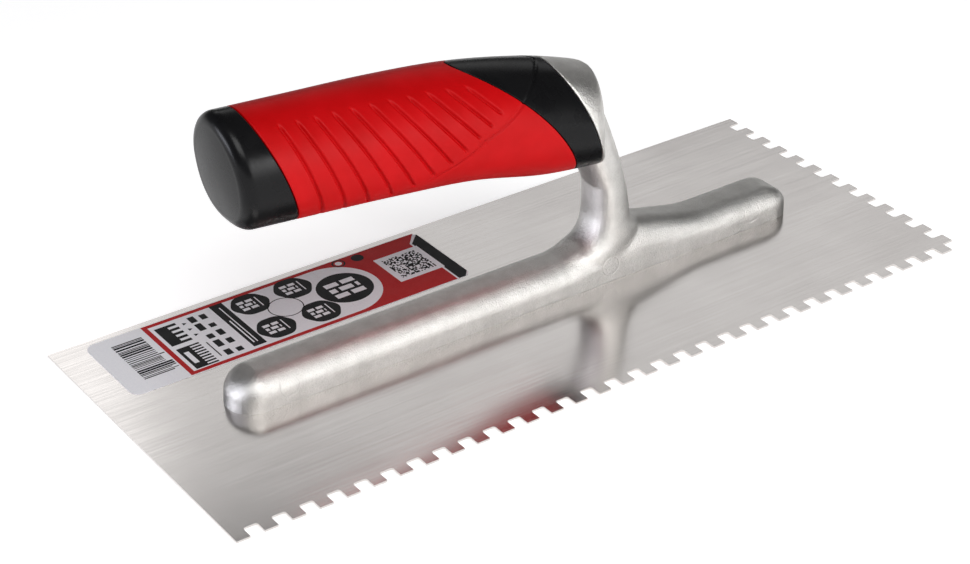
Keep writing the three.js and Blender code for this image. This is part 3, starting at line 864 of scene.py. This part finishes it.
def red_skins():
    """The frame round the left field, and the panel at the right with its round bay."""
    bottom, top = FILM_TOP - INK, FILM_TOP + INK
    right = LABEL_HIGH.x
    frame = rectangle(FIELD_LEFT, LOBE_X, NEAR + MARGIN, FAR - MARGIN)
    window = rectangle(FIELD_LEFT + FRAME_LINE, LOBE_X,
                       NEAR + MARGIN + FRAME_LINE, FAR - MARGIN - FRAME_LINE)
    lobe = [(LOBE_X + LOBE_RADIUS * math.cos(a), CENTRE + LOBE_RADIUS * math.sin(a))
            for a in np.linspace(math.pi / 2, -math.pi / 2, 33)]
    panel = [(TAB_LEFT, NEAR + MARGIN), (TAB_LEFT, FAR - 5.8), (right - 0.9, FAR - MARGIN),
             (LOBE_X, FAR - MARGIN)] + lobe + [(LOBE_X, NEAR + MARGIN)]
    return [band(frame, window, bottom, top), prism(panel, bottom, top)]


def black_skins():
    """Bars, combs, blocks where words would stand, badges, disc, end tab and seals."""
    right = LABEL_HIGH.x
    ink = stripes()
    ink += [comb(COMB_LEFT, *place) for place in COMBS]
    ink += [polygon(POINTER_X, y, POINTER_RADIUS, 3) for y in POINTERS]
    ink += [rectangle(*RULE), rectangle(*BLOCK)]
    for row, lengths in enumerate(WORD_LENGTHS):
        start = WORD_NEAR + row * WORD_PITCH
        ink += [rectangle(*column, start, start + length)
                for column, length in zip(WORD_COLUMNS, lengths)]
    ink += [softened(polygon(x, y, BADGE_RADIUS, 6), BADGE_CORNER) for x, y in BADGES]
    ink.append(polygon(DISC_X, CENTRE, DISC_RADIUS, 64))
    ink.append([(right - 0.2, NEAR + 3), (right - 0.2, FAR - 1.4), (TAB_LEFT + 0.7, FAR - 6.2),
                (TAB_LEFT + 0.7, NEAR + MARGIN), (right - 2.4, NEAR + MARGIN)])
    ink.append(polygon(*SECOND_SEAL, 2.2, 40))
    return [layer(ink, 2), ring(RING_X, RING_Y, RING_RADIUS, 0.35), ring(*SEAL, 2.4, 0.6)]


def pale_shapes():
    """White ground of the mosaic, brick patterns and lines over the black print."""
    far_side = MOSAIC_SIZE + MOSAIC_BORDER
    shapes = [rectangle(MOSAIC_LEFT - MOSAIC_BORDER, MOSAIC_LEFT + far_side,
                        MOSAIC_NEAR - MOSAIC_BORDER, MOSAIC_NEAR + far_side)]
    for x, y in BADGES:
        shapes += courses(x - 1, y, 5.6, 6)
        shapes.append(rectangle(x + 3, x + 3.4, y - 3.2, y + 3.2))
    shapes.append(polygon(*SEAL, 1.2, 24))
    shapes += [rectangle(*place) for place in (COMB_WINDOW, *BLOCK_LINES)]
    return shapes + courses(DISC_X, CENTRE, 11, 10)


def mosaic_shapes():
    """Small squares in a random pattern."""
    cell = MOSAIC_SIZE / MOSAIC_CELLS
    shapes = []
    for row in range(MOSAIC_CELLS):
        for column in range(MOSAIC_CELLS):
            if random.random() < MOSAIC_ODDS:
                x, y = MOSAIC_LEFT + column * cell, MOSAIC_NEAR + row * cell
                shapes.append(rectangle(x, x + cell * MOSAIC_FILL, y, y + cell * MOSAIC_FILL))
    return shapes


def make_label(white, red, black):
    """A plain film with bands, badges and patterns, and no lettering."""
    corners = rectangle(LABEL_LOW.x, LABEL_HIGH.x, NEAR, FAR)
    film = prism(softened(corners, FILM_CORNER), BLADE_TOP, FILM_TOP)
    finished(mesh_object("label_film", *film, False), white, "label_film", "product_label")
    for name, skin, material in (("label_red", joined(red_skins()), red),
                                 ("label_black", joined(black_skins()), black),
                                 ("label_white", layer(pale_shapes(), 3), white),
                                 ("label_mosaic", layer(mosaic_shapes(), 4), black)):
        finished(mesh_object(name, *skin, False), material, "label_film")


# ------------------------------------------------------------------ rivets
def make_rivet(index):
    """A countersunk rivet that is flush with the underside."""
    low, high = box_mm(f"rivet_{index}")
    middle = (low.x + high.x) / 2
    head, shank = (high.x - low.x) / 2, RIVET_SHANK_RADIUS
    profile = [(head - RIVET_TIP, 0.0), (head - 0.12, 0.03), (head, 0.16), (shank, BLADE_TOP),
               (shank, high.z - RIVET_TIP), (shank - RIVET_TIP, high.z)]
    turn = np.linspace(0, 2 * math.pi, 48, endpoint=False)
    rings = [np.stack([middle + radius * np.cos(turn), radius * np.sin(turn), np.full_like(turn, z)], -1)
             for radius, z in profile]
    return mesh_object(f"rivet_head_{index}", *loft(rings, "fan"), False)


# ------------------------------------------------------------------ object
steel = fastener_steel()
rubber, plastic = red_rubber(), black_plastic()

finished(make_casting(), cast_aluminium(), "cast_aluminium", "spine_casting")
finished(make_sleeve(), rubber, "red_rubber", "grip_sleeve")
finished(make_core(), plastic, "black_plastic", "grip_core")
finished(make_cap(), plastic, "black_plastic", "end_cap")
make_label(printed("label_white", (0.9, 0.9, 0.94), (0.95, 0.95, 0.98)),
           printed("label_red", (0.46, 0.012, 0.014), (0.53, 0.016, 0.018)),
           printed("label_black", (0.006, 0.006, 0.007), (0.01, 0.01, 0.011)))
for number in range(1, RIVETS + 1):
    finished(make_rivet(number), steel, "fastener_steel", f"rivet_{number}")
for node, material in (("blade", stainless()), ("grip_screw", steel), ("grip_washer", steel)):
    piece = frame["nodes"][node]
    piece.data.materials.clear()
    piece.data.materials.append(material)


# ------------------------------------------------------------------ floor, light and camera
FLOOR_SIZE, FLOOR_CLEARANCE = 24, 0.0004     # metres


def make_floor():
    bpy.ops.mesh.primitive_grid_add(x_subdivisions=4, y_subdivisions=4, size=FLOOR_SIZE,
                                    location=(0, 0, -FLOOR_CLEARANCE))
    floor = bpy.context.object
    floor.name = "floor"
    finish = Finish("floor", Roughness=0.9)
    finish.shader.inputs["Specular IOR Level"].default_value = 0
    finish.shader.inputs["Base Color"].default_value = (0.9, 0.9, 0.9, 1)
    finish.shader.inputs["Emission Color"].default_value = (1, 1, 1, 1)
    finish.shader.inputs["Emission Strength"].default_value = 0.58
    floor.data.materials.append(finish.material)


def make_world():
    world = bpy.data.worlds.new("studio")
    world.use_nodes = True
    tree = world.node_tree
    background = tree.nodes["Background"]
    background.inputs["Color"].default_value = (0.06, 0.06, 0.06, 1)
    bpy.context.scene.world = world


def make_light(name, azimuth, elevation, distance, size, radiance, colour=(1, 1, 1)):
    """A soft panel seen from the object at that azimuth (0 is -Y, 90 is +X), facing it."""
    turn, rise = math.radians(azimuth), math.radians(elevation)
    away = Vector((math.sin(turn) * math.cos(rise), -math.cos(turn) * math.cos(rise), math.sin(rise)))
    data = bpy.data.lights.new(name, "AREA")
    data.shape = "RECTANGLE"
    data.size, data.size_y = size
    data.energy = radiance * math.pi * size[0] * size[1]
    data.color = colour
    light = bpy.data.objects.new(name, data)
    light.location = away * distance
    light.rotation_mode = "QUATERNION"
    light.rotation_quaternion = (-away).to_track_quat("-Z", "Y")
    light.visible_camera = False
    bpy.context.scene.collection.objects.link(light)


def make_camera():
    azimuth, elevation, roll = math.radians(-34.466), math.radians(30.37), math.radians(-1.03)
    target, distance = Vector((-0.0316, -0.0257, 0.0300)), 0.6865
    back = Vector((math.sin(azimuth) * math.cos(elevation),
                   -math.cos(azimuth) * math.cos(elevation), math.sin(elevation)))
    data = bpy.data.cameras.new("camera")
    data.sensor_width = 36
    data.lens = 83.753
    data.clip_start, data.clip_end = 0.01, 20
    camera = bpy.data.objects.new("camera", data)
    camera.location = target + back * distance
    camera.rotation_mode = "QUATERNION"
    camera.rotation_quaternion = (-back).to_track_quat("-Z", "Y") @ Quaternion((0, 0, 1), roll)
    bpy.context.scene.collection.objects.link(camera)
    bpy.context.scene.camera = camera


make_floor()
make_world()
make_light("key", azimuth=-20, elevation=50, distance=1.2, size=(0.7, 0.6), radiance=6)
make_light("front_card", azimuth=14, elevation=14, distance=1.2, size=(0.6, 0.45), radiance=4)
make_light("strip", azimuth=28, elevation=18, distance=1.2, size=(0.16, 0.3), radiance=12)
make_light("left_card", azimuth=-105, elevation=8, distance=1.2, size=(0.6, 0.3), radiance=11,
           colour=(0.88, 0.9, 1))
make_light("backdrop", azimuth=138, elevation=31, distance=2.1, size=(1.9, 0.6), radiance=0.85)
make_light("backdrop_left", azimuth=168, elevation=34, distance=2.1, size=(0.5, 0.5), radiance=0.85)
make_camera()
bpy.context.scene.view_settings.view_transform = "Standard"
